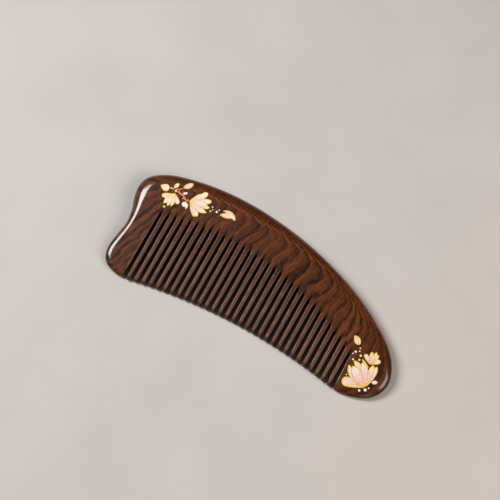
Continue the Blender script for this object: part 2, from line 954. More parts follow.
    def build(self) -> bpy.types.Material:
        """Builds the material.

        Returns:
            The material.
        """
        g = Graph(self.name)
        places = g.places()
        x, _, _ = g.split(places)
        field = self.field(g, places)
        part, strength = self.rings(g, field)
        turning = self.turning(g, places)
        spine = g.map(turning, self.SPINE)
        teeth = self.toothed(g, places)
        mottle = g.map(g.noise(places, self.MOTTLES), self.MOTTLE)
        streak = g.noise_line(field, self.STREAKS)
        fine = g.noise_line(field, self.FINE_STREAKS)
        fibre = self.stretched(g, places, self.FIBRES)
        pores = self.stretched(g, places, self.PORES)
        light = g.highest(
            g.map(g.noise(places, self.PATCHES), self.PATCH_LIGHT),
            g.map(streak, self.STREAK_LIGHT),
            g.map(fine, self.FINE_LIGHT),
            g.ramp(part, self.RING_LIGHT),
            g.ramp(g.map(turning, self.TURN_SIDES), self.TURN_LIGHT),
            g.times(g.map(x, self.RIGHT_LIGHT), g.map(x, self.RIGHT_END), mottle),
        )
        band = g.times(
            g.ramp(part, self.BAND),
            g.highest(strength, g.times(spine, self.BAND_SPINE)),
            g.highest(mottle, spine),
            g.map(teeth, Span(0.0, 1.0, 1.0, self.tooth_share)),
        )
        tone = g.mix(g.map(self.inward(g, places), self.DEPTH), self.deep, self.pale)
        for factor, colour in (
            (light, self.warm),
            (band, g.mix(spine, self.dark, self.burnt)),
            (g.times(teeth, self.tooth_burn), self.burnt),
            (g.map(x, self.END_DARK), self.dark),
            (g.map(streak, self.STREAK_DARK), self.dark),
            (g.map(fine, self.FINE_DARK), self.dark),
            (g.map(fibre, self.FIBRE_LIGHT), self.warm),
            (g.map(fibre, self.FIBRE_DARK), self.dark),
            (g.map(pores, self.PORE_DARK), self.dark),
        ):
            tone = g.mix(factor, tone, colour)
        rough = Span(0.3, 0.7, self.rough + self.ROUGH_SPREAD, self.rough - self.ROUGH_SPREAD)
        relief = g.plus(g.times(pores, self.PORE_RELIEF), fibre)
        return g.finish(
            Base_Color=tone,
            Roughness=g.map(fibre, rough),
            Specular_IOR_Level=0.08,
            Coat_Weight=self.polish,
            Coat_Roughness=self.polish_rough,
            Normal=g.bump(relief, strength=0.3, depth=0.04),
        )


@dataclass(frozen=True)
class ShellFinish:
    """Pearly shell with a pink foot, pale tips and fine veins.

    Attributes:
        name: name of the material.
        foot: colour at the foot of a petal.
        middle: colour half way.
        tip: colour at the tip.
        vein: colour of the veins.
        side: colour along the sides.
        side_share: how strong the sides' own colour is.
    """

    name: str = "pearl_shell"
    foot: Colour = (0.8, 0.36, 0.46)
    middle: Colour = (0.79, 0.5, 0.6)
    tip: Colour = (0.84, 0.8, 0.84)
    vein: Colour = (0.84, 0.82, 0.82)
    side: Colour = (0.8, 0.5, 0.6)
    side_share: float = 0.0

    # Clouds move the colours along a petal, veins run along it, and a weak tint turns from green to pink
    CLOUDS = Noise(0.9)
    CLOUD_SHIFT = Span(0.3, 0.7, -0.22, 0.22)
    CLOUD_ROUGHNESS = Span(0.3, 0.7, 0.22, 0.34)
    VEINS_ALONG = 1.6
    VEINS_ACROSS = 13.0
    VEINS = Noise(1.0)
    VEIN_LIGHT = Span(0.5, 0.68, 0.0, 0.5)
    TINTS = Noise(1.7, 1.0)
    TINT_COLOURS = ((0.35, (0.78, 0.8, 0.78)), (0.65, (0.84, 0.74, 0.82)))
    TINT_SHARE = 0.22
    # Places of the three colours along a petal, and of the sides' own colour across it
    COLOUR_PLACES = (0.1, 0.5, 0.95)
    SIDE_MIDDLE = 0.6
    SIDE_REACH = (0.22, 0.55)

    def build(self) -> bpy.types.Material:
        """Builds the material.

        Returns:
            The material.
        """
        g = Graph(self.name)
        places = g.places()
        along, across, _ = g.split(g.add("ShaderNodeTexCoord").outputs["UV"])
        x, y, _ = g.split(places)
        cloud = g.noise(places, self.CLOUDS)
        factor = g.plus(along, g.map(cloud, self.CLOUD_SHIFT))
        tone = g.ramp(factor, list(zip(self.COLOUR_PLACES, (self.foot, self.middle, self.tip))))
        vector = g.join(g.times(along, self.VEINS_ALONG), g.times(across, self.VEINS_ACROSS), g.plus(x, y))
        veins = g.noise(vector, self.VEINS)
        tone = g.mix(g.map(veins, self.VEIN_LIGHT), tone, self.vein)
        tint = g.ramp(g.noise(places, self.TINTS), self.TINT_COLOURS)
        tone = g.mix(self.TINT_SHARE, tone, tint)
        aside = g.math("ABSOLUTE", g.minus(across, self.SIDE_MIDDLE))
        tone = g.mix(g.map(aside, Span(*self.SIDE_REACH, 0.0, self.side_share)), tone, self.side)
        return g.finish(
            Base_Color=tone,
            Roughness=g.map(cloud, self.CLOUD_ROUGHNESS),
            Specular_IOR_Level=0.6,
            Coat_Weight=0.4,
            Coat_Roughness=0.12,
            Normal=g.bump(veins, strength=0.4, depth=0.02),
        )


@dataclass(frozen=True)
class MetalFinish:
    """Soft metal leaf with a slightly uneven colour.

    Attributes:
        name: name of the material.
        low: darker colour.
        high: lighter colour.
        metallic: how metallic it is.
        rough: usual roughness.
    """

    name: str
    low: Colour
    high: Colour
    metallic: float
    rough: float

    CLOUDS = Noise(0.7, 3.0)
    CLOUD_TONE = Span(0.35, 0.65)
    GRAIN = Noise(9.0)
    # How much smoother and rougher than usual the grain makes the leaf
    SMOOTHER = 0.06
    ROUGHER = 0.08

    def build(self) -> bpy.types.Material:
        """Builds the material.

        Returns:
            The material.
        """
        g = Graph(self.name)
        places = g.places()
        grain = g.noise(places, self.GRAIN)
        cloud = g.map(g.noise(places, self.CLOUDS), self.CLOUD_TONE)
        rough = Span(0.3, 0.7, self.rough - self.SMOOTHER, self.rough + self.ROUGHER)
        return g.finish(
            Base_Color=g.mix(cloud, self.low, self.high),
            Metallic=self.metallic,
            Roughness=g.map(grain, rough),
            Normal=g.bump(grain, strength=0.3, depth=0.01),
        )


@dataclass(frozen=True)
class TwigFinish:
    """Copper leaf that pales to cream at the knot where the twig forks.

    Attributes:
        low: darker copper.
        high: lighter copper.
        knot: colour of the knot.
        knot_x: x of the knot.
        knot_y: y of the knot.
    """

    low: Colour = (0.72, 0.19, 0.04)
    high: Colour = (0.86, 0.35, 0.13)
    knot: Colour = (0.86, 0.62, 0.32)
    knot_x: float = -59.3
    knot_y: float = 17.4

    CLOUDS = Noise(0.9, 3.0)
    CLOUD_TONE = Span(0.35, 0.65)
    GRAIN = Noise(7.0)
    GRAIN_ROUGHNESS = Span(0.3, 0.7, 0.3, 0.46)
    # Square of the distance from the knot over which the copper pales
    KNOT_REACH = Span(1.4, 0.2)

    def build(self) -> bpy.types.Material:
        """Builds the material.

        Returns:
            The material.
        """
        g = Graph("copper_leaf")
        places = g.places()
        grain = g.noise(places, self.GRAIN)
        tone = g.mix(g.map(g.noise(places, self.CLOUDS), self.CLOUD_TONE), self.low, self.high)
        near = g.map(g.square_from(places, self.knot_x, self.knot_y), self.KNOT_REACH)
        return g.finish(
            Base_Color=g.mix(near, tone, self.knot),
            Metallic=0.1,
            Roughness=g.map(grain, self.GRAIN_ROUGHNESS),
            Normal=g.bump(grain, strength=0.4, depth=0.02),
        )


@dataclass(frozen=True)
class FloorFinish:
    """Plain pale floor with a faint unevenness.

    Attributes:
        low: darker grey.
        high: lighter grey.
    """

    low: Colour = (0.5, 0.5, 0.5)
    high: Colour = (0.54, 0.54, 0.54)

    CLOUDS = Noise(0.02, 3.0)
    CLOUD_TONE = Span(0.3, 0.7)
    CLOUD_ROUGHNESS = Span(0.3, 0.7, 0.7, 0.8)

    def build(self) -> bpy.types.Material:
        """Builds the material.

        Returns:
            The material.
        """
        g = Graph("pale_floor")
        cloud = g.noise(g.places(), self.CLOUDS)
        tone = g.mix(g.map(cloud, self.CLOUD_TONE), self.low, self.high)
        rough = g.map(cloud, self.CLOUD_ROUGHNESS)
        return g.finish(Base_Color=tone, Roughness=rough, Specular_IOR_Level=0.2)


@dataclass(frozen=True)
class CombShape:
    """The comb's plan and its two flat faces, in millimetres, as the CAD model has them.

    Attributes:
        teeth: number of teeth.
        gap_first: middle of the first gap.
        gap_last: middle of the last gap.
        tip_t: height of the upper face at the tips.
        head_t: height of the upper face where it ends below the spine.
        ridge_y: y of that place.
        tips_x: x of the middle of the tips' arc.
        tips_y: y of that arc's lowest place.
        tips_r: radius of the tips' arc.
        roots_x: x of the middle of the roots' arc.
        roots_y: y of that arc's highest place.
        roots_r: radius of the roots' arc.
        left_lead: x on the tips' arc from which the outline's curve comes in at the left guard.
        right_lead: x on the tips' arc to which it goes on beyond the right guard.
        lead_rim: width of the rounded rim at both.
        span_steps: steps from one place of the outline's table to the next.
    """

    teeth: int = 31
    gap_first: float = -60.0
    gap_last: float = 54.0
    tip_t: float = 4.2
    head_t: float = 12.0
    ridge_y: float = 24.3
    tips_x: float = 2.0
    tips_y: float = -24.95
    tips_r: float = 280.0
    roots_x: float = -22.0
    roots_y: float = 9.8
    roots_r: float = 148.0
    left_lead: float = -57.5
    right_lead: float = 51.0
    lead_rim: float = 1.8
    span_steps: int = 5

    @property
    def pitch(self) -> float:
        """Distance from one tooth to the next."""
        return (self.gap_last - self.gap_first) / self.teeth

    @property
    def slope(self) -> float:
        """Rise of the upper face for each millimetre towards the spine."""
        return (self.head_t - self.tip_t) / (self.ridge_y - self.tips_y)

    @property
    def up(self) -> Vector:
        """The direction straight out of the upper face."""
        return Vector((0.0, -self.slope, 1.0)).normalized()

    def face_height(self, y: float) -> float:
        """Height of the flat upper face."""
        return self.tip_t + self.slope * (y - self.tips_y)

    def tips_at(self, x: float) -> float:
        """Where the arc of the tips lies."""
        return self.tips_y - self.tips_r + math.sqrt(self.tips_r**2 - (x - self.tips_x) ** 2)

    def roots_at(self, x: float) -> float:
        """Where the arc of the roots lies."""
        return self.roots_y - self.roots_r + math.sqrt(self.roots_r**2 - (x - self.roots_x) ** 2)

    def gap_x(self, i: int) -> float:
        """Middle of a gap between two teeth."""
        return self.gap_first + i * self.pitch

    def outline(self) -> list[EndPlace]:
        """The outline from the left guard's foot round the spine to the right guard's foot.

        Returns:
            Its places, with the width of the rim at each.
        """
        leads = [Vector((x, self.tips_at(x), self.lead_rim)) for x in (self.left_lead, self.right_lead)]
        rows = [leads[0], *map(Vector, ENDS), leads[1]]
        found = [
            EndPlace(*smooth_curve(*rows[i - 1 : i + 3], s / self.span_steps))
            for i in range(1, len(rows) - 2)
            for s in range(self.span_steps)
        ]
        return [*found, ENDS[-1]]

    def surface(self, place: Vector, outline: Sequence[EndPlace]) -> float:
        """Height of the upper side, the rounded rim included.

        Args:
            place: place in plan.
            outline: the outline's places.

        Returns:
            The height in millimetres.
        """
        top = self.face_height(place.y)
        distance, rim = min((math.hypot(place.x - p.x, place.y - p.y), p.rim) for p in outline)
        if distance >= rim:
            return top
        turn = math.acos(1 - distance / rim)
        return top / 2 * (1 + math.sin(turn))


class Stop(NamedTuple):
    """One place along the closed contour of the comb.

    Attributes:
        wall: plan of the upright wall.
        face: plan of the edge of the flat face.
        depth: how far below the face the wall starts.
        roundness: 1 for a rounded edge and 0 for a straight bevel.
        groove: whether the groove beyond a gap starts here.
    """

    wall: Vector
    face: Vector
    depth: float
    roundness: float = 1.0
    groove: bool = False

    def place(self, shape: CombShape, share: float, upper: bool) -> Vector:
        """A place on the way from the wall to the face.

        Args:
            shape: the comb's shape.
            share: 0 at the wall and 1 at the face.
            upper: whether the upper face is meant.

        Returns:
            The place in millimetres.
        """
        turn = share * math.pi / 2
        run = self.roundness * (1 - math.cos(turn)) + (1 - self.roundness) * share
        drop = self.roundness * (1 - math.sin(turn)) + (1 - self.roundness) * (1 - share)
        plan = self.wall.lerp(self.face, run)
        height = self.depth * drop
        if upper:
            height = shape.face_height(plan.y) - height
        return Vector((plan.x, plan.y, height))


class CornerRow(NamedTuple):
    """A place round the inner corner of a guard's foot.

    Attributes:
        turn: angle round the corner, in degrees.
        share: how far the rim has widened there, 0 as in the gap and 1 as at the foot.
    """

    turn: float
    share: float


class FlankRow(NamedTuple):
    """A place along one side of a gap.

    Attributes:
        way: 0 at the mouth of the gap and 1 at its root.
        share: width of the tooth's edge there, as a share of its usual width.
    """

    way: float
    share: float


class Wood(Enum):
    """The finishes of the comb's wood, as places in its list of materials."""

    POLISHED = 0
    SAWN = 1
    WORN = 2


CORNER = (CornerRow(20.0, 0.8), CornerRow(45.0, 0.5), CornerRow(70.0, 0.2))
FLANK = (FlankRow(0.0, 1.0), FlankRow(0.12, 1.0), FlankRow(0.5, 1.1))


@dataclass(frozen=True)
class CombBody:
    """The wood of the comb: head, guards and teeth as one closed mesh.

    Attributes:
        shape: the comb's shape.
        gap_root: width of a gap at its root.
        gap_tip: width of a gap near the tips.
        gap_shift: how far the gaps lie to the right of their even places.
        left_edge: width of the rounded left edge of a tooth.
        right_edge: width of its rounded right edge.
        root_edge: width of both edges at the root, as a share of their usual width.
        half: share of the thickness that the rounding of either face takes.
        corner_r: radius of the inner corner of a guard's foot.
        corner_in: how far in from the foot that corner starts.
        corner_rim: width of the rounded rim where it ends.
        tip_round: length of the rounded tip of a tooth.
        tip_in: how far in from the tips' arc a tooth ends.
        tip_slope: how much further in the flat of a tooth ends in the middle of its tip than at its sides.
        tip_deep: share of the thickness that the rounding takes at the tip.
        run_out: length of the pointed groove beyond each gap.
        keel: depth of that groove where the gap ends.
        rounding: steps from the wall to the face.
        turns: steps round a root or a tip.
    """

    shape: CombShape
    gap_root: float = 1.58
    gap_tip: float = 2.02
    gap_shift: float = 0.16
    left_edge: float = 0.5
    right_edge: float = 0.75
    root_edge: float = 0.55
    half: float = 0.485
    corner_r: float = 1.2
    corner_in: float = 0.1
    corner_rim: float = 1.9
    tip_round: float = 1.5
    tip_in: float = 0.15
    tip_slope: float = 0.9
    tip_deep: float = 0.42
    run_out: float = 3.0
    keel: float = 0.6
    rounding: int = 8
    turns: int = 8

    def outer(self) -> list[Stop]:
        """The stops round both ends and the spine.

        Returns:
            The stops, clockwise from the left guard's foot.
        """
        rows = self.shape.outline()
        stops = []
        for i, row in enumerate(rows):
            a, b = rows[max(i - 1, 0)], rows[min(i + 1, len(rows) - 1)]
            ahead = Vector((b.x - a.x, b.y - a.y)).normalized()
            wall = Vector((row.x, row.y))
            face = wall + Vector((ahead.y, -ahead.x)) * row.rim
            stops.append(Stop(wall, face, self.half * self.shape.face_height(row.y)))
        return stops

    def corner(self, right: bool) -> list[Stop]:
        """The rounded inner corner of a guard's foot.

        Args:
            right: whether the right guard is meant.

        Returns:
            Its stops, in the contour's order.
        """
        side = 1 if right else -1
        flank = self.middle(self.shape.teeth if right else 0) + side * self.gap_tip / 2
        edge = self.left_edge if right else self.right_edge
        foot = ENDS[-1].y if right else ENDS[0].y
        deep = self.half * self.shape.face_height(foot)
        stops = []
        for turn, share in CORNER:
            sine, cosine = math.sin(math.radians(turn)), math.cos(math.radians(turn))
            x = flank + side * self.corner_r * (1 - sine)
            wall = Vector((x, foot + self.corner_in + self.corner_r * (1 - cosine)))
            rim = edge + (self.corner_rim - edge) * share
            face = wall + Vector((side * sine, cosine)) * rim
            stops.append(Stop(wall, face, edge + (deep - edge) * share))
        return stops if right else stops[::-1]

    def middle(self, i: int) -> float:
        """Middle of gap i."""
        return self.shape.gap_x(i) + self.gap_shift

    def flank(self, i: int, side: int) -> list[Stop]:
        """The stops along one side of a gap, from its mouth to its root.

        Args:
            i: the gap's number.
            side: 1 for its right side and -1 for its left side.

        Returns:
            The stops.
        """
        shape, x = self.shape, self.middle(i)
        guard = i == (shape.teeth if side == 1 else 0)
        mouth = shape.tips_at(x + side * shape.pitch / 2) + self.tip_in + self.tip_round
        root = shape.roots_at(x) - self.gap_root / 2
        edge = self.left_edge if side == 1 else self.right_edge
        stops = []
        for way, share in (*FLANK, FlankRow(1.0, self.root_edge)):
            half = (self.gap_tip + (self.gap_root - self.gap_tip) * way) / 2
            wall = Vector((x + side * half, mouth + way * (root - mouth)))
            rise = 0.0 if way or guard else self.tip_slope
            stops.append(Stop(wall, wall + Vector((side * edge * share, rise)), edge * share))
        return stops

    def root(self, i: int) -> list[Stop]:
        """The stops round the root of a gap, with the pointed groove that runs out on the head.

        Args:
            i: the gap's number.

        Returns:
            The stops, from the right side of the gap to the left.
        """
        radius = self.gap_root / 2
        x = self.middle(i)
        y = self.shape.roots_at(x) - radius
        stops = []
        for s in range(1, self.turns):
            turn = 2 * s / self.turns - 1
            share = 1 - abs(turn)
            a = math.pi * s / self.turns
            wall = Vector((x + radius * math.cos(a), y + radius * math.sin(a)))
            edge = (self.left_edge + (self.right_edge - self.left_edge) * (1 + turn) / 2) * self.root_edge
            face = Vector((x - (radius + edge) * turn, y + (self.run_out + radius) * share))
            stops.append(Stop(wall, face, edge + (self.keel - edge) * share, 1 - share, groove=True))
        return stops

    def tip(self, i: int) -> list[Stop]:
        """The stops round the tip of the tooth to the left of a gap.

        Args:
            i: the gap's number.

        Returns:
            The stops, from the right side of the tooth to the left.
        """
        shape = self.shape
        x = self.middle(i) - shape.pitch / 2
        y = shape.tips_at(x) + self.tip_in
        half = (shape.pitch - self.gap_tip) / 2
        deep = self.tip_deep * shape.face_height(y)
        stops = []
        for s in range(1, self.turns):
            a = math.pi * s / self.turns
            sine, cosine = math.sin(a), math.cos(a)
            edge = self.right_edge + (self.left_edge - self.right_edge) * s / self.turns
            wall = Vector((x + half * cosine, y + self.tip_round * (1 - sine)))
            face = Vector((x + (half - edge) * cosine, y + self.tip_round + self.tip_slope * (1 - sine)))
            stops.append(Stop(wall, face, edge + (deep - edge) * sine**2))
        return stops

    def contour(self) -> list[Stop]:
        """The whole contour of the comb.

        Returns:
            All stops, clockwise from the left guard's foot.
        """
        stops = self.outer() + self.corner(right=True)
        for i in range(self.shape.teeth, -1, -1):
            stops += self.flank(i, 1) + self.root(i) + self.flank(i, -1)[::-1]
            if i:
                stops += self.tip(i)
        return stops + self.corner(right=False)

    def build(
        self, finish: bpy.types.Material, sawn: bpy.types.Material, worn: bpy.types.Material
    ) -> bpy.types.Object:
        """Builds the body.

        Args:
            finish: the polished wood.
            sawn: the wood between the teeth.
            worn: the rounded edges of the teeth.

        Returns:
            The object.
        """
        stops = self.contour()
        n = len(stops)
        levels = [(1 - r / self.rounding, False) for r in range(self.rounding + 1)]
        levels += [(r / self.rounding, True) for r in range(self.rounding + 1)]
        places = [stop.place(self.shape, share, upper) for share, upper in levels for stop in stops]
        faces = strip_faces(len(levels), n, close_columns=True)
        faces.append(tuple(range(n - 1, -1, -1)))
        faces.append(tuple(range(len(places) - n, len(places))))
        body = make_object("comb_wood", places, faces)
        self.flatten_caps(body.data)
        keep_piece(body, finish, ["comb_body"])
        body.data.materials.append(sawn)
        body.data.materials.append(worn)
        self.dress_teeth(body.data, stops)
        return body

    def dress_teeth(self, mesh: bpy.types.Mesh, stops: Sequence[Stop]) -> None:
        """Leaves the gaps and their grooves as sawn, and gives the edges of the teeth the worn finish.

        Args:
            mesh: the body's mesh.
            stops: the contour's stops.
        """
        n = len(stops)
        for i in range(len(self.outer()) + len(self.corner(right=True)), n - 1):
            mesh.polygons[self.rounding * n + i].material_index = Wood.SAWN.value
            wood = Wood.SAWN if stops[i].groove and stops[i + 1].groove else Wood.WORN
            for r in range(self.rounding + 1, 2 * self.rounding + 1):
                mesh.polygons[r * n + i].material_index = wood.value

    def flatten_caps(self, mesh: bpy.types.Mesh) -> None:
        """Gives the corners of the two flat faces the faces' own direction, so that they shade flat.

        Args:
            mesh: the body's mesh.
        """
        normals = [vertex.normal.copy() for vertex in mesh.vertices]
        for face in mesh.polygons:
            if len(face.vertices) > 4:
                straight = self.shape.up if face.normal.z > 0 else Vector((0.0, 0.0, -1.0))
                for i in face.vertices:
                    normals[i] = straight
        mesh.normals_split_custom_set_from_vertices(normals)


@dataclass(frozen=True)
class InlayFinishes:
    """The finishes of the petals and their lines.

    Attributes:
        pink: pink petals.
        cream: cream petals.
        blush: petals that are pink up to the tip.
        bare: buds without a gold line.
        gold: gold lines.
    """

    pink: bpy.types.Material
    cream: bpy.types.Material
    blush: bpy.types.Material
    bare: bpy.types.Material
    gold: bpy.types.Material

    def petal(self, cluster: Cluster, i: int) -> bpy.types.Material:
        """The finish of one petal.

        Args:
            cluster: the cluster that it belongs to.
            i: its number in the cluster.

        Returns:
            The material.
        """
        if i in cluster.blush:
            return self.blush
        if not cluster.frame:
            return self.bare
        return self.pink if cluster.pink else self.cream


class LineRow(NamedTuple):
    """A place across a gold line.

    Attributes:
        share: 0 on its outer edge and 1 on its inner edge.
        rise: height as a share of the bead's, or None for the lower edge of the skirt.
    """

    share: float
    rise: float | None


LINE = (LineRow(0.0, None), LineRow(0.0, 0.5), LineRow(0.25, 1.0), LineRow(0.7, 1.0), LineRow(1.0, 0.2))


@dataclass(frozen=True)
class Inlay:
    """Shell petals in gold lines, let into the upper side of the comb.

    Attributes:
        shape: the comb's shape.
        gold_line: usual width of a gold line.
        base: height of the back petal's edge above the wood.
        step: how much higher each petal lies than the one behind it.
        dome: how far the middle of a petal stands above its edge.
        bare_dome: how much more that is for a petal without a gold line.
        dome_lead: how far the dome's highest place lies towards the foot, as a share of the way.
        inset: how far the shell ends inside the outer edge of its gold line.
        merged_lift: how much higher than the gold line's bead two petals lie that read as one.
        merged_foot: how fast the line between such petals ends beyond the foot.
        bead: how far a gold line stands above the shell.
        foot_wide: how far a line reaches in at the foot of a petal, as a share of its width.
        tip_wide: how far it reaches in at the tip.
        hollow: least half width inside a gold line.
        skirt: how far the pieces go into the wood.
        rows: steps from the foot of a petal to its tip.
        columns: steps from its midrib to its edge.
    """

    shape: CombShape
    gold_line: float = 0.45
    base: float = 0.02
    step: float = 0.025
    dome: float = 0.03
    bare_dome: float = 3.0
    dome_lead: float = 0.05
    inset: float = 0.05
    merged_lift: float = 0.02
    merged_foot: float = 4.0
    bead: float = 0.025
    foot_wide: float = 0.6
    tip_wide: float = 1.3
    hollow: float = 0.02
    skirt: float = 0.08
    rows: int = 20
    columns: int = 4

    @property
    def ways(self) -> list[float]:
        """Shares of the way from the foot of a petal to its tip, closer together near the tip."""
        return [math.sin(math.pi / 2 * r / self.rows) for r in range(self.rows + 1)]

    def level(self, cluster: Cluster, i: int) -> float:
        """Height of the edge of petal i above the wood."""
        return self.base + self.step * (len(cluster.petals) - 1 - i)

    def on_wood(self, plan: Vector, height: float, outline: Sequence[EndPlace]) -> Vector:
        """A place at a height above the wood."""
        return Vector((plan.x, plan.y, self.shape.surface(plan, outline) + height))

    def margin(self, cluster: Cluster, i: int, t: float, left: bool) -> float:
        """How far the shell of a petal ends inside its edge.

        Args:
            cluster: the cluster that the petal belongs to.
            i: its number in the cluster.
            t: share of the way from foot to tip.
            left: whether its left side is meant.

        Returns:
            The distance in millimetres.
        """
        if not cluster.frame:
            return 0.0
        if not cluster.merged:
            return self.inset
        inner = left == (i == 0)
        return self.gold_line * cluster.frame * (max(0.0, 1 - self.merged_foot * t) if inner else 1.0)

    def petal(self, cluster: Cluster, i: int, outline: Sequence[EndPlace]) -> bpy.types.Object:
        """Builds one petal of shell.

        Args:
            cluster: the cluster that it belongs to.
            i: its number in the cluster.
            outline: the comb's outline.

        Returns:
            The object.
        """
        petal = cluster.petals[i]
        level = self.level(cluster, i) + (self.bead + self.merged_lift if cluster.merged else 0)
        dome = self.dome if cluster.frame else self.bare_dome * self.dome
        places, shares = [], []
        for t in self.ways:
            swell = dome * math.sin(math.pi * min(1.0, t + self.dome_lead))
            for c in range(-self.columns - 1, self.columns + 2):
                across = max(-1.0, min(1.0, c / self.columns))
                half = max(petal.half_width(t) - self.margin(cluster, i, t, left=c > 0), 0.0)
                height = -self.skirt if abs(c) > self.columns else level + swell * (1 - across**2)
                places.append(self.on_wood(petal.place(t, half * across), height, outline))
                shares.append((t, 0.5 + across / 2))
        wide = 2 * self.columns + 3
        faces = strip_faces(self.rows + 1, wide)
        faces.append(tuple(range(wide - 1, -1, -1)))
        return make_object(f"shell_{cluster.name}_{i + 1}", places, faces, shares)

    def gold(self, cluster: Cluster, outline: Sequence[EndPlace]) -> bpy.types.Object:
        """Builds the gold lines round all petals of a cluster as one piece.

        Args:
            cluster: the cluster.
            outline: the comb's outline.

        Returns:
            The object.
        """
        places, faces = [], []
        for i, petal in enumerate(cluster.petals):
            level = self.base if cluster.merged else self.level(cluster, i)
            loop = self.loop(petal, self.gold_line * cluster.frame)
            faces += strip_faces(len(loop), len(LINE), len(places), close_rows=True)
            for outer, inner in loop:
                for share, rise in LINE:
                    height = -self.skirt if rise is None else level + self.bead * rise
                    places.append(self.on_wood(outer.lerp(inner, share), height, outline))
        return make_object(f"gold_{cluster.name}", places, faces)

    def loop(self, petal: Petal, line: float) -> list[tuple[Vector, Vector]]:
        """The two edges of a gold line, once round a petal.

        Args:
            petal: the petal.
            line: width of the line, in millimetres.

        Returns:
            Pairs of places in plan, on the outer and the inner edge.
        """
        near, far = self.foot_wide * line / petal.length, self.tip_wide * line / petal.length
        pairs = []
        for side in (1, -1):
            half_loop = []
            for t in self.ways:
                outer = petal.place(t, side * petal.half_width(t))
                s = near + (1 - near - far) * t
                inner = petal.place(s, side * max(petal.half_width(s) - line, self.hollow))
                half_loop.append((outer, inner))
            pairs += half_loop if side == 1 else half_loop[-2::-1]
        return pairs

    def build(self, finishes: InlayFinishes) -> None:
        """Builds all clusters.

        Args:
            finishes: the finishes of their pieces.
        """
        outline = self.shape.outline()
        for cluster in CLUSTERS:
            for i in range(len(cluster.petals)):
                piece = self.petal(cluster, i, outline)
                node = f"{cluster.name}_petal_{i + 1}"
                keep_piece(piece, finishes.petal(cluster, i), [node])
            if cluster.frame:
                piece = self.gold(cluster, outline)
                keep_piece(piece, finishes.gold, [f"{cluster.name}_gold"])


@dataclass(frozen=True)
class Twig:
    """The forked twig that the left spray hangs from, as a half-round bead.

    Attributes:
        shape: the comb's shape.
        rise: height of the bead above the wood as a share of its radius.
        sink: how far the bead goes into the wood.
        knob: how much the bead swells and narrows along its way, as a share of its radius.
        knob_turn: how fast it does so, in radians for each step.
        steps: steps from one row of the tables to the next.
        sides: steps across the bead.
    """

    shape: CombShape
    rise: float = 0.5
    sink: float = 0.05
    knob: float = 0.12
    knob_turn: float = 2.3
    steps: int = 4
    sides: int = 8

    def path(self, rows: Sequence[Dot]) -> list[Vector]:
        """The way of one arm of the twig.

        Args:
            rows: the arm's table.

        Returns:
            Places in plan, with the arm's radius as the third coordinate.
        """
        knots = [Vector(row) for row in rows]
        knots = [2 * knots[0] - knots[1], *knots, 2 * knots[-1] - knots[-2]]
        path = [
            smooth_curve(*knots[i - 1 : i + 3], s / self.steps)
            for i in range(1, len(knots) - 2)
            for s in range(self.steps)
        ]
        return [*path, knots[-2]]

    def arm(self, rows: Sequence[Dot]) -> tuple[list[Vector], list[Face]]:
        """The mesh of one arm of the twig.

        Args:
            rows: the arm's table.

        Returns:
            Its places and its faces.
        """
        path = self.path(rows)
        places = []
        for i, here in enumerate(path):
            ahead = path[min(i + 1, len(path) - 1)] - path[max(i - 1, 0)]
            left = Vector((-ahead.y, ahead.x)).normalized()
            radius = here.z * (1 + self.knob * math.sin(self.knob_turn * i))
            for s in range(self.sides + 1):
                a = math.pi * s / self.sides
                plan = here.xy + left * radius * math.cos(a)
                lift = radius * self.rise * math.sin(a) - self.sink
                places.append(Vector((plan.x, plan.y, self.shape.face_height(plan.y) + lift)))
        wide = self.sides + 1
        faces = strip_faces(len(path), wide)
        faces.append(tuple(range(wide)))
        faces.append(tuple(range(len(places) - 1, len(places) - wide - 1, -1)))
        return places, faces

    def build(self, finish: bpy.types.Material) -> bpy.types.Object:
        """Builds the twig.

        Args:
            finish: its material.

        Returns:
            The object.
        """
        places, faces = [], []
        for rows in (TWIG_MAIN, TWIG_ARM):
            more, corners = self.arm(rows)
            faces += [tuple(len(places) + i for i in face) for face in corners]
            places += more
        return keep_piece(make_object("twig_bead", places, faces), finish, ["twig"])


@dataclass(frozen=True)
class Dots:
    """A set of small round beads beside a spray.

    Attributes:
        shape: the comb's shape.
        node: name of their CAD node.
        rows: their middles and radii.
        rise: height of a bead above the wood as a share of its radius.
        sink: how far a bead goes into the wood.
        rings: steps from the edge of a bead to its top.
        sides: steps round a bead.
    """

    shape: CombShape
    node: str
    rows: tuple[Dot, ...]
    rise: float = 0.4
    sink: float = 0.03
    rings: int = 5
    sides: int = 20

    def bead(self, dot: Dot) -> list[Vector]:
        """The places of one bead.

        Args:
            dot: the bead's row.

        Returns:
            The places, ring by ring, with the top as the last.
        """
        places = []
        for r in range(self.rings):
            turn = math.pi / 2 * r / self.rings
            lift = dot.radius * self.rise * math.sin(turn) - self.sink
            for s in range(self.sides):
                a = 2 * math.pi * s / self.sides
                x = dot.x + dot.radius * math.cos(turn) * math.cos(a)
                y = dot.y + dot.radius * math.cos(turn) * math.sin(a)
                places.append(Vector((x, y, self.shape.face_height(y) + lift)))
        top = self.shape.face_height(dot.y) - self.sink + dot.radius * self.rise
        return [*places, Vector((dot.x, dot.y, top))]

    def build(self, finish: bpy.types.Material, slot: Slot) -> bpy.types.Object:
        """Builds the beads.

        Args:
            finish: their material.
            slot: their slot in the record.

        Returns:
            The object.
        """
        places, faces = [], []
        for dot in self.rows:
            start = len(places)
            places += self.bead(dot)
            top = len(places) - 1
            last = top - self.sides
            faces += strip_faces(self.rings, self.sides, start, close_columns=True)
            faces += [(last + s, last + (s + 1) % self.sides, top) for s in range(self.sides)]
            faces.append(tuple(range(start + self.sides - 1, start - 1, -1)))
        return keep_piece(make_object(f"beads_{self.node}", places, faces), finish, [self.node])


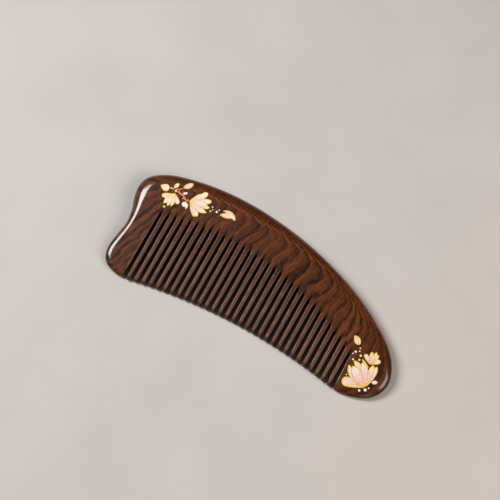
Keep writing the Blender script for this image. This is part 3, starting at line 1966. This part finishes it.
@dataclass(frozen=True)
class SoftBox:
    """A rectangular studio light that looks at the comb.

    Attributes:
        name: its name.
        toward: direction from the comb to the light.
        distance: distance from the comb, in metres.
        width: its width, in metres.
        height: its height, in metres.
        power: its power, in watts.
        colour: its colour.
    """

    name: str
    toward: Direction
    distance: float
    width: float
    height: float
    power: float
    colour: Colour = (1.0, 1.0, 1.0)

    def build(self) -> bpy.types.Object:
        """Builds the light.

        Returns:
            The object.
        """
        light = bpy.data.lights.new(self.name, "AREA")
        light.shape = "RECTANGLE"
        light.size, light.size_y = self.width, self.height
        light.energy = self.power
        light.color = self.colour
        lamp = bpy.data.objects.new(self.name, light)
        away = Vector(self.toward).normalized()
        lamp.location = away * self.distance
        lamp.rotation_euler = away.to_track_quat("Z", "Y").to_euler()
        bpy.context.scene.collection.objects.link(lamp)
        log.info("light %s", self.name)
        return lamp


LIGHTS = (
    SoftBox(
        name="key_left",
        toward=(-0.656, -0.06, 0.755),
        distance=1.0,
        width=0.28,
        height=0.5,
        power=9.8,
        colour=(1.0, 0.97, 0.94),
    ),
    SoftBox(
        name="fill_right",
        toward=(0.74, -0.02, 0.67),
        distance=1.0,
        width=0.5,
        height=0.6,
        power=6.7,
        colour=(1.0, 0.81, 0.69),
    ),
    SoftBox(
        name="front_right",
        toward=(0.46, -0.7, 0.54),
        distance=1.2,
        width=0.4,
        height=0.12,
        power=0.5,
    ),
)


@dataclass(frozen=True)
class Studio:
    """Camera, floor and lights.

    Attributes:
        target: place that the camera looks at, in millimetres.
        azimuth: how far the camera stands to the right of straight in front, in degrees.
        elevation: its height above the horizon, in degrees.
        distance: its distance from the target, in millimetres.
        lens: focal length, in millimetres.
        sensor: width of the sensor, in millimetres.
        clip: distance from which the camera sees, in metres.
        floor_half: half the side of the floor, in millimetres.
        floor_z: height of the floor, in millimetres.
        sky: colour of the light from all round.
        sky_strength: strength of the light from all round.
        view_transform: how the picture's light is turned into colours.
    """

    target: Direction = (-12.33, 9.44, 9.5)
    azimuth: float = 29.7
    elevation: float = 71.0
    distance: float = 777.44
    lens: float = 115.2
    sensor: float = 36.0
    clip: float = 0.01
    floor_half: float = 2500.0
    floor_z: float = -0.05
    sky: Colour = (0.9, 0.95, 1.0)
    sky_strength: float = 0.035
    view_transform: str = "Standard"

    def camera(self) -> bpy.types.Object:
        """Places the camera.

        Returns:
            The object.
        """
        a, e = math.radians(self.azimuth), math.radians(self.elevation)
        back = Vector((math.sin(a) * math.cos(e), -math.cos(a) * math.cos(e), math.sin(e)))
        right = Vector((math.cos(a), math.sin(a), 0.0))
        up = back.cross(right)
        turn = Matrix((right, up, back)).transposed().to_4x4()
        data = bpy.data.cameras.new("camera")
        data.lens = self.lens
        data.sensor_width = self.sensor
        data.clip_start = self.clip
        camera = bpy.data.objects.new("camera", data)
        place = (Vector(self.target) + back * self.distance) * MM
        camera.matrix_world = Matrix.Translation(place) @ turn
        bpy.context.scene.collection.objects.link(camera)
        bpy.context.scene.camera = camera
        return camera

    def floor(self) -> bpy.types.Object:
        """Builds the floor.

        Returns:
            The object.
        """
        corners = ((-1, -1), (1, -1), (1, 1), (-1, 1))
        places = [Vector((x * self.floor_half, y * self.floor_half, self.floor_z)) for x, y in corners]
        floor = make_object("floor", places, [(0, 1, 2, 3)])
        floor.data.materials.append(FloorFinish().build())
        return floor

    def build(self) -> None:
        """Builds the camera, the floor, the lights and the light from all round."""
        self.camera()
        self.floor()
        for light in LIGHTS:
            light.build()
        world = bpy.data.worlds.new("studio")
        world.use_nodes = True
        background = world.node_tree.nodes["Background"]
        background.inputs["Color"].default_value = (*self.sky, 1.0)
        background.inputs["Strength"].default_value = self.sky_strength
        bpy.context.scene.world = world
        bpy.context.scene.view_settings.view_transform = self.view_transform


POLISHED = WoodFinish()
SAWN = WoodFinish(
    name="sawn_hardwood",
    polish=0.0,
    rough=0.7,
    deep=(0.026, 0.0075, 0.0019),
    pale=(0.031, 0.0096, 0.0033),
    warm=(0.063, 0.018, 0.004),
)
WORN = WoodFinish(
    name="worn_hardwood",
    polish=0.6,
    polish_rough=0.1,
    deep=(0.083, 0.022, 0.0057),
    pale=(0.108, 0.033, 0.0127),
    warm=(0.29, 0.081, 0.018),
)
PINK = ShellFinish()
CREAM = ShellFinish(
    name="cream_shell",
    foot=(0.8, 0.46, 0.42),
    middle=(0.8, 0.61, 0.56),
    tip=(0.83, 0.78, 0.74),
    vein=(0.83, 0.79, 0.73),
)
BLUSH = ShellFinish(
    name="blush_shell",
    foot=(0.8, 0.5, 0.5),
    middle=(0.8, 0.54, 0.56),
    tip=(0.8, 0.58, 0.59),
    vein=(0.83, 0.72, 0.74),
)
BARE = ShellFinish(
    name="bud_shell",
    foot=(0.82, 0.66, 0.46),
    middle=(0.83, 0.77, 0.64),
    tip=(0.83, 0.8, 0.72),
    vein=(0.83, 0.81, 0.76),
    side=(0.82, 0.46, 0.36),
    side_share=0.8,
)
PEARL = ShellFinish(
    name="white_pearl",
    foot=(0.9, 0.89, 0.87),
    middle=(0.9, 0.89, 0.87),
    tip=(0.9, 0.89, 0.87),
    vein=(0.9, 0.9, 0.9),
)
GOLD_LEAF = MetalFinish(
    name="gold_leaf", low=(0.7, 0.47, 0.004), high=(0.84, 0.64, 0.02), metallic=0.1, rough=0.36
)
GOLD_BEAD = MetalFinish(
    name="gold_bead", low=(0.88, 0.78, 0.12), high=(0.9, 0.86, 0.34), metallic=0.05, rough=0.3
)


def main() -> None:
    """Builds the whole scene."""
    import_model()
    Studio().build()
    shape = CombShape()
    CombBody(shape).build(POLISHED.build(), SAWN.build(), WORN.build())
    shells = [finish.build() for finish in (PINK, CREAM, BLUSH, BARE)]
    Inlay(shape).build(InlayFinishes(*shells, gold=GOLD_LEAF.build()))
    Twig(shape).build(TwigFinish().build())
    bead, pearl = GOLD_BEAD.build(), PEARL.build()
    Dots(shape, "left_gold_dots", LEFT_GOLD).build(bead, Slot.GOLD)
    Dots(shape, "left_pearl_dots", LEFT_PEARL).build(pearl, Slot.SHELL)
    Dots(shape, "right_gold_dots", RIGHT_GOLD).build(bead, Slot.GOLD)
    Dots(shape, "right_pearl_dots", RIGHT_PEARL).build(pearl, Slot.SHELL)


if __name__ == "__main__":
    main()
